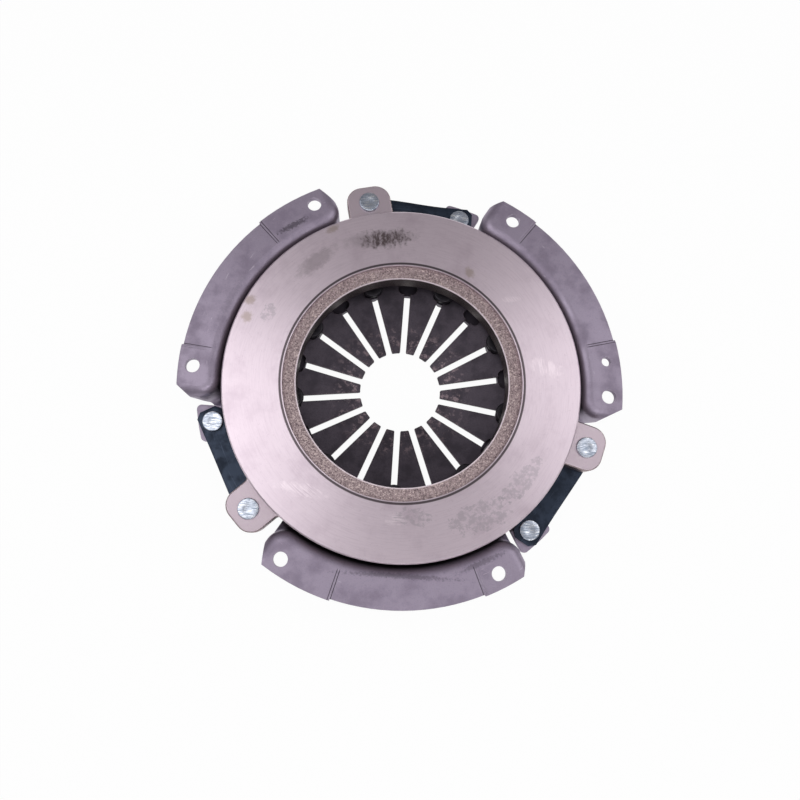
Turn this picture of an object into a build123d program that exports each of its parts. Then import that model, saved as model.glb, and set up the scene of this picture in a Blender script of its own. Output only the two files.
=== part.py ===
from build123d import *
import os
from math import cos, degrees, radians, sin, sqrt, tan

# Diaphragm-spring clutch cover assembly for a 225 mm disc, in millimetres.
# Origin: centre of the flywheel bolt circle, on the front of the six bolting pads.
# +Z points to the flywheel. The spring is drawn free, as the part is before it is bolted on.

# Driving dimensions, friction face and casting
face_d = 225.0
face_bore_d = 150.4
cast_ring_w = 8.3
face_stand_out = 3.8
cast_ring_step = 2.4
rim_t = 10.3
back_draft = 1.5
face_edge_chamfer = 0.8
ridge_w = 5.0
ridge_h = 4.1
ridge_inset = 2.0
ridge_margin = 1.5
ridge_count = 6
ridge_gap = 8.0
spring_clearance = 0.1
plate_travel = 3.6
travel_margin = 1.1

# Driving dimensions, lugs of the casting
lug_w = 28.8
lug_corner_r = 10.0
lug_reach = 11.4
lug_set_back = 5.0
lug_root_r = 3.0
lug_edge = 0.8

# Driving dimensions, cover pressing
sheet_t = 4.0
cover_h = 32.5
lobe_count = 3
bolt_stand_off = 17.0
bolt_pitch_deg = 60.0
bolt_hole_d = 9.0
dowel_hole_d = 6.0
dowel_offset_deg = 10.0
flange_margin = 8.8
middle_set_in = 1.0
middle_step = 0.8
long_pad_deg = 15.6
short_pad_deg = 5.4
double_line_deg = 0.55
skirt_gap = 2.0
flange_bend_r = 3.0
floor_bend_r = 5.0
lobe_corner_r = 12.0
lug_end_wall = 14.0
strap_end_wall = 18.6
foot_w = 1.0
lug_end_corner = 7.6
lug_end_cut_depth = 13.5
strap_end_corner = 12.8
strap_end_cut_depth = 9.0
end_trim_foot = 1.5
end_trim_margin = 6.0
gap_inset = 6.5
gap_corner_r = 4.0
opening_inset = 5.2

# Driving dimensions, strap ledges
ledge_h = 14.4
ledge_slit = 1.7
ledge_lip = 1.1
ledge_past_rivet = 9.5
ledge_ramp = 4.0
ledge_ramp_start = 1.8
ledge_bend_r = 3.5
ledge_corner_r = 3.0
ledge_overlap = 2.5

# Driving dimensions, drive straps
strap_leaves = 3
leaf_t = 0.7
strap_w = 17.0
strap_end = 8.7
strap_corner = 3.4
strap_flat = 9.5
strap_rise = 4.3
strap_stand_off = 10.1
cover_rivet_deg = 75.1
lug_rivet_deg = 104.2

# Driving dimensions, strap and lug rivets
rivet_shank_d = 8.0
rivet_head_d = 13.0
rivet_head_h = 1.6
rivet_tail_h = 2.6
rivet_fit = 0.1

# Driving dimensions, diaphragm spring
spring_t = 2.5
spring_inset = 13.5
spring_bore_d = 54.0
pivot_inset = 21.5
cone_deg = 12.0
finger_count = 18
slot_w = 4.0
slot_phase_deg = 9.85
window_w = 12.4
window_depth = 9.6
window_corner_r = 3.2
tip_round = 0.8

# Driving dimensions, fulcrum rings and their rivets
wire_d = 3.6
wire_gap = 1.0
ring_clearance = 3.0
fulcrum_inset = 6.5
fulcrum_count = 9
shoulder_d = 8.0
fulcrum_shank_d = 6.0
fulcrum_head_d = 14.5
fulcrum_head_h = 2.8
fulcrum_tail_d = 10.2
fulcrum_tail_h = 3.0
head_chamfer = 0.6

# Radii that follow from them
face_r = face_d / 2
cast_bore_r = face_bore_d / 2 - cast_ring_w
wall_r = face_r + skirt_gap
bolt_r = wall_r + bolt_stand_off
flange_r = bolt_r + flange_margin
middle_rim_r = flange_r - middle_set_in
bend_end_r = wall_r + flange_bend_r + sheet_t
gap_floor_r = wall_r - gap_inset
spring_r = face_r - spring_inset
ridge_r = spring_r - ridge_inset
body_r = ridge_r + ridge_w / 2 + ridge_margin
pivot_r = spring_r - pivot_inset
fulcrum_r = pivot_r - fulcrum_inset
opening_r = fulcrum_r - opening_inset
bore_zone_r = pivot_r + ring_clearance
strap_r = face_r + strap_stand_off
ledge_rim_r = strap_r + strap_w / 2 + ledge_lip
far = flange_r + 3 * sheet_t

# Heights that follow from them
face_z = face_stand_out
cast_ring_z = face_z - cast_ring_step
rim_back = face_z - rim_t
floor_back = -cover_h
floor_front = floor_back + sheet_t
below = floor_back - 3 * sheet_t
above = face_z + 3 * sheet_t
ledge_top = floor_back + ledge_h
pack_t = strap_leaves * leaf_t
lug_front = face_z - lug_set_back
lug_back = ledge_top + pack_t + strap_rise
cone_slope = tan(radians(cone_deg))
cone_upright = cos(radians(cone_deg))
pivot_lean = spring_t / 2 + wire_d / 2
pivot_z = floor_front + wire_d / 2 + pivot_lean * cone_upright
head_under = pivot_z + pivot_lean * cone_upright + wire_d / 2
head_top = head_under + fulcrum_head_h
ridge_foot = pivot_z + (ridge_r - pivot_r) * cone_slope + spring_t / 2 / cone_upright
body_back = ridge_foot + ridge_h
bore_zone_back = head_top + plate_travel + travel_margin

# Angles and strap places that follow from them
lobe_pitch = 360.0 / lobe_count
fulcrum_phase_deg = slot_phase_deg + 360.0 / finger_count
strap_mid_deg = (cover_rivet_deg + lug_rivet_deg) / 2
strap_half_angle = radians(lug_rivet_deg - strap_mid_deg)
strap_half_pitch = strap_r * sin(strap_half_angle)
strap_mid_r = strap_r * cos(strap_half_angle)


def at(radius, degrees, z=0.0):
    """Place at a radius and an angle around the axis, turned so that X points outward."""
    return Rot(0, 0, degrees) * Pos(radius, 0, z)


def ring_of(profile_points, arc=360.0):
    """Solid turned about Z from a closed outline given as radius and height pairs."""
    outline = Plane.XZ * make_face(Polyline(*profile_points, close=True))
    return revolve(outline, Axis.Z, arc)


def disc(radius, bottom, top):
    """Upright cylinder between two heights."""
    return Pos(0, 0, bottom) * Cylinder(radius, top - bottom, align=(Align.CENTER, Align.CENTER, Align.MIN))


def plan_radius(point):
    """Distance of a point from the axis."""
    return Vector(point.X, point.Y).length


def edges_at(solid, height, radius_limit):
    """Edges that lie flat at a height and inside a radius."""
    level = solid.edges().filter_by_position(Axis.Z, height - 0.01, height + 0.01)
    return [edge for edge in level if plan_radius(edge @ 0.5) < radius_limit]


def prism(sketch, bottom, top):
    """Straight solid over a plan outline between two heights."""
    return extrude(Pos(0, 0, bottom) * sketch, top - bottom)


# Cover pressing

def lobe_wedge(inset):
    """Plan region between the two end walls of a lobe, its sides moved inward by the inset."""
    low = Pos(far / 2, far - lug_end_wall + inset) * Rectangle(3 * far, 2 * far)
    high = Rot(0, 0, bolt_pitch_deg) * Pos(far / 2, strap_end_wall - inset - far) * Rectangle(3 * far, 2 * far)
    return low & high


def lobe_island(inset):
    """Plan of one raised flange at the face of its wall, with its two inner corners rounded."""
    band = Circle(far) - Circle(wall_r + inset)
    island = band & lobe_wedge(inset)
    corners = [v for v in island.vertices() if abs(plan_radius(v) - wall_r - inset) < 0.01]
    return fillet(corners, lobe_corner_r - inset)


def pressing_side(inset, flange_z, floor_z, bend_top, bend_floor):
    """Everything above one side of the sheet: the space inside the walls and over the flanges."""
    inside = Circle(far)
    for lobe in range(lobe_count):
        inside -= Rot(0, 0, lobe * lobe_pitch) * lobe_island(inset)
    room = prism(inside, floor_z, flange_z) + disc(far, flange_z, above)
    room = fillet(edges_at(room, flange_z, far - 1), bend_top)
    return fillet(edges_at(room, floor_z, far - 1), bend_floor)


def lobe_outline():
    """Trimmed outline of one lobe in plan, with a corner cut off at both ends."""
    low_y = -lug_end_wall - foot_w
    low_rim_x = sqrt(flange_r ** 2 - lug_end_corner ** 2)
    low = make_face(Polyline(
        (0, 0), (0, low_y), (flange_r - lug_end_cut_depth, low_y), (low_rim_x, -lug_end_corner),
        (far, -lug_end_corner), (far, far), (0, far), close=True))
    high_y = strap_end_wall + foot_w
    high_rim_x = sqrt(flange_r ** 2 - strap_end_corner ** 2)
    high = make_face(Polyline(
        (0, -far), (0, high_y), (flange_r - strap_end_cut_depth, high_y), (high_rim_x, strap_end_corner),
        (far, strap_end_corner), (far, -far), close=True))
    return low & (Rot(0, 0, bolt_pitch_deg) * high) & Circle(flange_r)


def middle_sector(profile_points, start_deg, end_deg):
    """Turned solid over part of every lobe, between two angles from its first bolt."""
    sector = ring_of(profile_points, end_deg - start_deg)
    return Compound([Rot(0, 0, lobe * lobe_pitch + start_deg) * sector for lobe in range(lobe_count)])


def flange_middles(sheet):
    """Slope the middle of each flange down from its bend, with a double line at each pad."""
    start = long_pad_deg
    end = bolt_pitch_deg - short_pad_deg
    under = [(bend_end_r, -sheet_t), (middle_rim_r, -sheet_t - middle_step),
             (middle_rim_r, -sheet_t / 2), (bend_end_r, -sheet_t / 2)]
    sheet += middle_sector(under, start, end)
    for share, shift in ((0.5, double_line_deg), (1.0, 0.0)):
        over = [(bend_end_r, 0), (middle_rim_r, -middle_step * share), (far, -middle_step * share),
                (far, sheet_t), (bend_end_r, sheet_t)]
        sheet -= middle_sector(over, start - shift, end + shift)
    rim = [(middle_rim_r, -2 * sheet_t), (far, -2 * sheet_t), (far, sheet_t), (middle_rim_r, sheet_t)]
    return sheet - middle_sector(rim, start, end)


def trimmed_plan():
    """Plan of the pressing after trimming: the rear ring with the three lobes on it."""
    plan = Circle(gap_floor_r)
    for lobe in range(lobe_count):
        plan += Rot(0, 0, lobe * lobe_pitch) * lobe_outline()
    roots = [v for v in plan.vertices() if abs(plan_radius(v) - gap_floor_r) < 0.01]
    return fillet(roots, gap_corner_r) - Circle(opening_r)


def strap_frame(set_number):
    """Frame of one strap set: X outward through its middle, Y along the strap towards the lug."""
    return Rot(0, 0, set_number * lobe_pitch + strap_mid_deg)


def ledge_plan():
    """Plan of the first ledge, between the slit beside the lobe and the end under the strap."""
    slit_y = strap_end_wall + foot_w + ledge_slit
    past_slit = Rot(0, 0, bolt_pitch_deg) * Pos(far / 2, slit_y + far / 2) * Rectangle(far, far)
    end_y = -strap_half_pitch + ledge_past_rivet
    before_end = strap_frame(0) * Pos(far / 2, end_y - far / 2) * Rectangle(far, far)
    plan = (past_slit & before_end & Circle(ledge_rim_r)) - Circle(gap_floor_r - ledge_overlap)
    tips = [v for v in plan.vertices() if plan_radius(v) > strap_r]
    return fillet(tips, ledge_corner_r)


def strap_ledge():
    """Ledge bent up from the rear ring, on which one end of the straps is riveted."""
    low = floor_back + sheet_t / 2
    high = ledge_top - sheet_t / 2
    ramp_start = gap_floor_r + ledge_ramp_start
    route = FilletPolyline((gap_floor_r - 2 * ledge_overlap, low), (ramp_start, low),
                           (ramp_start + ledge_ramp, high), (far, high), radius=ledge_bend_r)
    bent = revolve(Plane.XZ * trace(route, sheet_t), Axis.Z)
    return bent & prism(ledge_plan(), below, above)


def end_wall_trim():
    """Cone outside which the foot of each end wall is cut away, up to the flange corners."""
    foot_r = wall_r + sheet_t + end_trim_foot
    top_r = flange_r - end_trim_margin
    return ring_of([(foot_r, below), (far, below), (far, -2 * sheet_t), (top_r, -2 * sheet_t), (foot_r, floor_back)])


def cover():
    """Pressed steel cover with three flanged lobes, three strap ledges and all its holes."""
    upper = pressing_side(0.0, 0.0, floor_front, flange_bend_r + sheet_t, floor_bend_r)
    lower = pressing_side(sheet_t, -sheet_t, floor_back, flange_bend_r, floor_bend_r + sheet_t)
    sheet = (lower - upper) & prism(trimmed_plan(), below, above)
    sheet = flange_middles(sheet - end_wall_trim())
    for ledge in range(lobe_count):
        turn = ledge * lobe_pitch
        sheet += Rot(0, 0, turn) * strap_ledge()
        sheet -= at(strap_r, turn + cover_rivet_deg) * disc(rivet_shank_d / 2, below, above)
        for bolt in (0, bolt_pitch_deg):
            sheet -= at(bolt_r, turn + bolt) * disc(bolt_hole_d / 2, below, above)
    sheet -= at(bolt_r, dowel_offset_deg) * disc(dowel_hole_d / 2, below, above)
    for rivet in range(fulcrum_count):
        sheet -= fulcrum_place(rivet) * disc(fulcrum_shank_d / 2, below, above)
    return sheet


# Pressure plate

def casting_ring():
    """Turned body of the casting, with the machined face and the rough ring inside it."""
    machined_r = face_bore_d / 2
    return ring_of([
        (cast_bore_r, cast_ring_z), (machined_r, cast_ring_z), (machined_r, face_z),
        (face_r - face_edge_chamfer, face_z), (face_r, face_z - face_edge_chamfer), (face_r, rim_back),
        (body_r + back_draft, rim_back), (body_r, body_back), (bore_zone_r, body_back),
        (bore_zone_r - back_draft, bore_zone_back), (cast_bore_r, bore_zone_back)])


def fulcrum_ridge():
    """Rounded ridge on the back of the casting that the rim of the spring pushes on."""
    nose_r = ridge_w / 2
    nose_z = ridge_foot + (nose_r + spring_clearance) / cone_upright
    section = Pos(ridge_r, nose_z) * Circle(nose_r)
    section += Pos(ridge_r, (nose_z + body_back + 1) / 2) * Rectangle(ridge_w, body_back + 1 - nose_z)
    ridge = revolve(Plane.XZ * section, Axis.Z)
    for gap in range(ridge_count):
        slot = Box(3 * ridge_w, ridge_gap, 4 * ridge_w, align=(Align.CENTER, Align.CENTER, Align.MAX))
        ridge -= at(ridge_r, lug_rivet_deg + (gap + 0.5) * 360 / ridge_count, body_back) * slot
    return ridge


def lug():
    """One ear of the casting, with fillets at its root and a hole for the strap rivet."""
    length = strap_r + lug_reach
    bar = Pos(length / 2, 0) * Rectangle(length, lug_w)
    bar = fillet([v for v in bar.vertices() if v.X > 1], lug_corner_r)
    plan = Circle(face_r) + bar
    plan = fillet([v for v in plan.vertices() if abs(plan_radius(v) - face_r) < 0.01], lug_root_r)
    reach = Pos(face_r, 0) * Rectangle(4 * lug_reach, lug_w + 2 * lug_root_r)
    plan = (plan & reach) - Circle(body_r)
    ear = prism(plan, lug_back, lug_front)
    brims = ear.edges().group_by(Axis.Z)[-1] + ear.edges().group_by(Axis.Z)[0]
    ear = chamfer([edge for edge in brims if plan_radius(edge @ 0.5) > face_r + 1], lug_edge)
    return ear - Pos(strap_r, 0, 0) * disc(rivet_shank_d / 2, below, above)


def pressure_plate():
    """Cast iron plate with its fulcrum ridge and three lugs."""
    plate = casting_ring() + fulcrum_ridge()
    for number in range(lobe_count):
        plate += Rot(0, 0, lug_rivet_deg + number * lobe_pitch) * lug()
    return plate


# Diaphragm spring and what holds it

def spring_z(radius):
    """Height of the middle of the spring sheet at a radius, when the spring is free."""
    return pivot_z + (radius - pivot_r) * cone_slope


def around_slots(cutter):
    """Copies of a plan shape, one at every slot of the spring."""
    return [Rot(0, 0, slot_phase_deg + slot * 360 / finger_count) * cutter for slot in range(finger_count)]


def diaphragm_spring():
    """Coned steel disc cut into fingers, with a round-cornered window at the root of each slot."""
    bore_r = spring_bore_d / 2
    plan = Circle(spring_r) - Circle(bore_r)
    plan -= around_slots(Pos(fulcrum_r / 2, 0) * Rectangle(fulcrum_r, slot_w))
    plan = fillet([v for v in plan.vertices() if plan_radius(v) < bore_r + 0.1], tip_round)
    plan -= around_slots(Pos(fulcrum_r, 0) * RectangleRounded(window_depth, window_w, window_corner_r))
    inner, outer = bore_r - spring_t, spring_r + spring_t
    cone = revolve(Plane.XZ * trace(Line((inner, spring_z(inner)), (outer, spring_z(outer))), spring_t), Axis.Z)
    return cone & prism(plan, below, above)


def fulcrum_ring(side):
    """Wire ring on one side of the spring, +1 for the flywheel side, with a gap at its ends."""
    lean = side * pivot_lean
    centre = (pivot_r - lean * sin(radians(cone_deg)), pivot_z + lean * cone_upright)
    open_deg = degrees(wire_gap / pivot_r)
    wire = revolve(Plane.XZ * Pos(*centre) * Circle(wire_d / 2), Axis.Z, 360 - open_deg)
    return Rot(0, 0, fulcrum_phase_deg + 180 / fulcrum_count) * wire


def fulcrum_place(number):
    """Place of one fulcrum rivet."""
    return at(fulcrum_r, fulcrum_phase_deg + number * 360 / fulcrum_count)


def fulcrum_rivet():
    """Shouldered rivet: wide head over the front ring, shoulder in a window, tail behind the cover."""
    tail_z = floor_back - fulcrum_tail_h
    return ring_of([
        (0, tail_z), (fulcrum_tail_d / 2 - head_chamfer, tail_z), (fulcrum_tail_d / 2, tail_z + head_chamfer),
        (fulcrum_tail_d / 2, floor_back), (fulcrum_shank_d / 2, floor_back), (fulcrum_shank_d / 2, floor_front),
        (shoulder_d / 2, floor_front), (shoulder_d / 2, head_under), (fulcrum_head_d / 2, head_under),
        (fulcrum_head_d / 2, head_top - head_chamfer), (fulcrum_head_d / 2 - head_chamfer, head_top), (0, head_top)])


# Drive straps and their rivets

def strap_leaf(number):
    """One spring leaf, bent from the ledge up to the back of the lug."""
    top_low = ledge_top + pack_t - number * leaf_t
    top_high = top_low + strap_rise
    bend = strap_half_pitch - strap_flat
    end = strap_half_pitch + strap_end
    third = bend / 3
    edges = []
    for drop in (0, leaf_t):
        low, high = top_low - drop, top_high - drop
        edges += [Line((-end, low), (-bend, low)), Line((bend, high), (end, high)),
                  Bezier((-bend, low), (-third, low), (third, high), (bend, high))]
    edges += [Line((-end, top_low), (-end, top_low - leaf_t)), Line((end, top_high), (end, top_high - leaf_t))]
    band = extrude(Plane.YZ * make_face(edges), strap_w / 2, both=True)
    plan = chamfer(Rectangle(strap_w, 2 * end).vertices(), strap_corner)
    leaf = band & prism(plan, below, above)
    for y, radius in ((-strap_half_pitch, rivet_shank_d / 2), (strap_half_pitch, rivet_shank_d / 2 + rivet_fit)):
        leaf -= Pos(0, y, 0) * disc(radius, below, above)
    return Pos(strap_mid_r, 0, 0) * leaf


def strap_rivet(head_seat, tail_seat):
    """Flat-headed rivet through a strap pack and what carries it, between two seats."""
    top = head_seat + rivet_head_h
    foot = tail_seat - rivet_tail_h
    head_r = rivet_head_d / 2
    return ring_of([
        (0, foot), (head_r - head_chamfer, foot), (head_r, foot + head_chamfer), (head_r, tail_seat),
        (rivet_shank_d / 2, tail_seat), (rivet_shank_d / 2, head_seat), (head_r, head_seat),
        (head_r, top - head_chamfer), (head_r - head_chamfer, top), (0, top)])


def all_pieces():
    """Every node of the assembly with its solid, in place."""
    pieces = {
        "cover": cover(),
        "pressure_plate": pressure_plate(),
        "diaphragm_spring": diaphragm_spring(),
        "front_fulcrum_ring": fulcrum_ring(1),
        "rear_fulcrum_ring": fulcrum_ring(-1)}
    for number in range(fulcrum_count):
        pieces[f"fulcrum_rivet_{number + 1}"] = fulcrum_place(number) * fulcrum_rivet()
    for number in range(lobe_count):
        turn = number * lobe_pitch
        for leaf in range(strap_leaves):
            pieces[f"drive_strap_{number + 1}_leaf_{leaf + 1}"] = strap_frame(number) * strap_leaf(leaf)
        cover_end = strap_rivet(ledge_top + pack_t, ledge_top - sheet_t)
        lug_end = strap_rivet(lug_front, lug_back - pack_t)
        pieces[f"cover_strap_rivet_{number + 1}"] = at(strap_r, turn + cover_rivet_deg) * cover_end
        pieces[f"lug_rivet_{number + 1}"] = at(strap_r, turn + lug_rivet_deg) * lug_end
    return pieces


os.makedirs("parts", exist_ok=True)
for node, solid in all_pieces().items():
    solid.label = node
    export_step(solid, f"parts/{node}.step")
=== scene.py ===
"""Clutch pressure plate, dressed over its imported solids.

All pieces are in metres in the part's own frame: Z points to the flywheel and the origin lies
in the plane of the six bolting pads. Sizes are written in millimetres and turned by MM.
"""
import logging
import math
from dataclasses import dataclass
from enum import Enum

import bmesh
import bpy
from mathutils import Matrix, Vector


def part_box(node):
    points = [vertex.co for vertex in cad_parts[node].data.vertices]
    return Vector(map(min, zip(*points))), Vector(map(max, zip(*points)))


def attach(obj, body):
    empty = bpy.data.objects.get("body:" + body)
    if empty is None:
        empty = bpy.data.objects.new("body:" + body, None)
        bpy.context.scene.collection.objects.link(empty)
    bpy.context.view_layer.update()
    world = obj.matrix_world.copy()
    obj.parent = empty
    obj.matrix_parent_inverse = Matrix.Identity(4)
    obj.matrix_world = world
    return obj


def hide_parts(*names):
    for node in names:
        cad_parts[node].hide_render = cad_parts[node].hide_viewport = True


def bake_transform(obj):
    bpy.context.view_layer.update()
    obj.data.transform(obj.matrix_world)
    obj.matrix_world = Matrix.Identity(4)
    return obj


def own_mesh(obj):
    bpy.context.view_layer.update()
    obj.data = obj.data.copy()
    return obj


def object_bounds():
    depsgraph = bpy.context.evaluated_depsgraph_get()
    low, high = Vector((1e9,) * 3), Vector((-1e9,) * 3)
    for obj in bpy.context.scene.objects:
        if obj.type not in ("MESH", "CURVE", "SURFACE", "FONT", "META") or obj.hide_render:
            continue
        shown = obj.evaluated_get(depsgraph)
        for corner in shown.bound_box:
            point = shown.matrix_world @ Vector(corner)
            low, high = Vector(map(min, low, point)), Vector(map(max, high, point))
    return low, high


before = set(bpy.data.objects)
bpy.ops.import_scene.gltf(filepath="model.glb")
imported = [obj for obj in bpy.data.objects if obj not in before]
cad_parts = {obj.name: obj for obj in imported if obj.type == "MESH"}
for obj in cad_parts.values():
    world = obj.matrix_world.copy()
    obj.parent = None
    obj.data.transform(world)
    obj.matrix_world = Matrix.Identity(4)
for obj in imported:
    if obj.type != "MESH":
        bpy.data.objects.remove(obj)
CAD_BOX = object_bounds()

LOG = logging.getLogger("clutch")
MM = 0.001
THROUGH_MM = 1e4
IMAGE_PX = 800
SENSOR_MM = 36.0

Material = bpy.types.Material
Mesh = bpy.types.Mesh
Node = bpy.types.Node
Object = bpy.types.Object
Socket = bpy.types.NodeSocket
Tree = bpy.types.NodeTree


class Body(Enum):
    """The two bodies of the assembly."""

    COVER = "cover_body"
    PLATE = "plate_body"


class Slot(Enum):
    """Names of finish slots of the record; the rivet rings carry one each, and nothing reads it."""

    SPRING = "spring_steel"
    BLACK_RIVET = "black_rivet_steel"
    STRAP = "strap_steel"
    ZINC_RIVET = "zinc_rivet_steel"


def linear(colour: str) -> tuple[float, float, float, float]:
    """Turns an sRGB hex colour into the linear colour a socket takes.

    Args:
        colour: six hex digits after a hash.

    Returns:
        Linear red, green and blue, and an alpha of 1.
    """
    parts = [int(colour[start:start + 2], 16) / 255 for start in (1, 3, 5)]
    curve = [part / 12.92 if part <= 0.04045 else ((part + 0.055) / 1.055) ** 2.4 for part in parts]
    return (*curve, 1.0)


def add_node(tree: Tree, kind: str, inputs: dict | None = None, **settings: object) -> Node:
    """Adds a node with its settings, values and links.

    Args:
        tree: the tree that gets the node.
        kind: Blender's name of the node type.
        inputs: value or output socket for each input, by name or number.
        settings: properties of the node.

    Returns:
        The new node.
    """
    node = tree.nodes.new(kind)
    for name, value in settings.items():
        setattr(node, name, value)
    for key, value in (inputs or {}).items():
        if isinstance(value, Socket):
            tree.links.new(value, node.inputs[key])
        else:
            node.inputs[key].default_value = value
    return node


# Patterns that several finishes share

@dataclass(frozen=True)
class Skin:
    """The surface of a piece while its finish is made: where each point lies, and patterns laid there.

    Places and sizes are in millimetres, and a mask runs from 0 to 1.
    """

    tree: Tree
    position: Socket
    radius: Socket
    height: Socket
    outward: Socket

    @classmethod
    def on(cls, tree: Tree) -> "Skin":
        """Finds where each point of a piece lies.

        Args:
            tree: the material's tree.

        Returns:
            The skin, with its distance from the axis, its height and the outward direction.
        """
        place = add_node(tree, "ShaderNodeTexCoord").outputs["Object"]
        sized = {0: place, "Scale": 1 / MM}
        position = add_node(tree, "ShaderNodeVectorMath", sized, operation="SCALE").outputs[0]
        split = add_node(tree, "ShaderNodeSeparateXYZ", {0: position}).outputs
        flat = add_node(tree, "ShaderNodeCombineXYZ", {0: split[0], 1: split[1]}).outputs[0]
        radius = add_node(tree, "ShaderNodeVectorMath", {0: flat}, operation="LENGTH").outputs["Value"]
        outward = add_node(tree, "ShaderNodeVectorMath", {0: flat}, operation="NORMALIZE").outputs[0]
        return cls(tree, position, radius, split[2], outward)

    def between(self, value: Socket, low: float, high: float) -> Socket:
        """Returns a mask that rises smoothly from 0 to 1 between two values."""
        ramp = {0: value, 1: low, 2: high}
        return add_node(self.tree, "ShaderNodeMapRange", ramp, interpolation_type="SMOOTHSTEP").outputs[0]

    def times(self, first: Socket, *others: Socket | float) -> Socket:
        """Returns the product of masks, or of a mask and its strength."""
        for other in others:
            pair = {0: first, 1: other}
            first = add_node(self.tree, "ShaderNodeMath", pair, operation="MULTIPLY").outputs[0]
        return first

    def either(self, first: Socket, *others: Socket) -> Socket:
        """Returns the mask of the places that any of the masks covers."""
        for other in others:
            pair = {0: first, 1: other}
            first = add_node(self.tree, "ShaderNodeMath", pair, operation="MAXIMUM").outputs[0]
        return first

    def valued(self, base: float | Socket, over: float | Socket, mask: Socket) -> Socket:
        """Returns one number that gives way to another by a mask."""
        mixed = {0: mask, 2: base, 3: over}
        return add_node(self.tree, "ShaderNodeMix", mixed, data_type="FLOAT").outputs[0]

    def grain(self, size: float, detail: float = 2.0, rough: float = 0.5,
              where: Socket | None = None) -> Socket:
        """Returns cloudy noise whose lumps have a real size."""
        cells = {"Vector": where or self.position, "Scale": 1 / size, "Detail": detail, "Roughness": rough}
        return add_node(self.tree, "ShaderNodeTexNoise", cells).outputs["Fac"]

    def turning_marks(self, pitch: float, length: float) -> Socket:
        """Makes fine arcs round the axis, as a tool or a lapping stone leaves them.

        Args:
            pitch: width of one mark across the arc.
            length: how many marks follow each other round the ring; small is longer.

        Returns:
            Noise from 0 to 1.
        """
        tree = self.tree
        lift = add_node(tree, "ShaderNodeCombineXYZ", {2: self.times(self.radius, 1 / pitch)}).outputs[0]
        arc = add_node(tree, "ShaderNodeVectorMath", {0: self.outward, "Scale": length}, operation="SCALE")
        where = add_node(tree, "ShaderNodeVectorMath", {0: arc.outputs[0], 1: lift}, operation="ADD")
        marks = {"Vector": where.outputs[0], "Scale": 1.0, "Detail": 3.0}
        return add_node(tree, "ShaderNodeTexNoise", marks).outputs["Fac"]

    def hatching(self, turn_deg: float, stretch: tuple[float, float, float], rough: float) -> Socket:
        """Makes noise drawn out one way.

        Args:
            turn_deg: how far the pattern is turned.
            stretch: lumps per millimetre along each of its own axes.
            rough: share of fine detail.

        Returns:
            Noise from 0 to 1.
        """
        own = add_node(self.tree, "ShaderNodeMapping", {
            "Vector": self.position, "Rotation": (0.0, 0.0, math.radians(turn_deg)), "Scale": stretch})
        return self.grain(1.0, 4.0, rough, own.outputs[0])

    def worn_edge(self, width: float) -> tuple[Socket, Socket]:
        """Rounds sharp edges in the shading and finds them.

        Args:
            width: width of the rounding.

        Returns:
            The rounded normal and a mask of the edges.
        """
        normal = add_node(self.tree, "ShaderNodeBevel", {0: width * MM}, samples=4).outputs[0]
        flat = add_node(self.tree, "ShaderNodeNewGeometry").outputs["Normal"]
        along = add_node(self.tree, "ShaderNodeVectorMath", {0: normal, 1: flat}, operation="DOT_PRODUCT")
        return normal, self.between(along.outputs["Value"], 0.995, 0.90)


@dataclass(frozen=True)
class Stain:
    """A soft stain with a ragged edge, by its place in plan and its half sizes in millimetres.

    The angle turns its length away from X. Noise of the grain's size moves its edge by the ragged
    share of the stain's own size.
    """

    centre: tuple[float, float]
    half: tuple[float, float]
    angle: float
    ragged: float
    grain_mm: float
    share: float = 1.0

    def mask(self, skin: Skin) -> Socket:
        """Returns where the stain is, right through the piece."""
        own = add_node(skin.tree, "ShaderNodeMapping", {
            "Vector": skin.position, "Location": (*self.centre, 0.0), "Scale": (*self.half, THROUGH_MM),
            "Rotation": (0.0, 0.0, math.radians(self.angle))}, vector_type="TEXTURE").outputs[0]
        away = add_node(skin.tree, "ShaderNodeVectorMath", {0: own}, operation="LENGTH").outputs["Value"]
        edge = skin.times(skin.grain(self.grain_mm, 4.0, 0.65), self.ragged)
        total = add_node(skin.tree, "ShaderNodeMath", {0: away, 1: edge}, operation="ADD").outputs[0]
        return skin.between(total, 1.0 + self.ragged * 0.5, 0.35 + self.ragged * 0.5)


@dataclass
class Coat:
    """The colours of a finish, painted layer over layer."""

    skin: Skin
    colour: Socket | tuple[float, float, float, float]

    def over(self, layer: str | Socket, mask: Socket, share: float = 1.0) -> None:
        """Paints one more layer.

        Args:
            layer: an sRGB hex colour, or a pattern of its own.
            mask: where it goes.
            share: how much of it covers.
        """
        top = linear(layer) if isinstance(layer, str) else layer
        cover = mask if share == 1.0 else self.skin.times(mask, share)
        mixed = {0: cover, 6: self.colour, 7: top}
        self.colour = add_node(self.skin.tree, "ShaderNodeMix", mixed, data_type="RGBA").outputs[2]


@dataclass(frozen=True)
class Relief:
    """How rough and how uneven a finish is."""

    roughness: Socket
    height: Socket
    depth_mm: float
    normal: Socket


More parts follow.
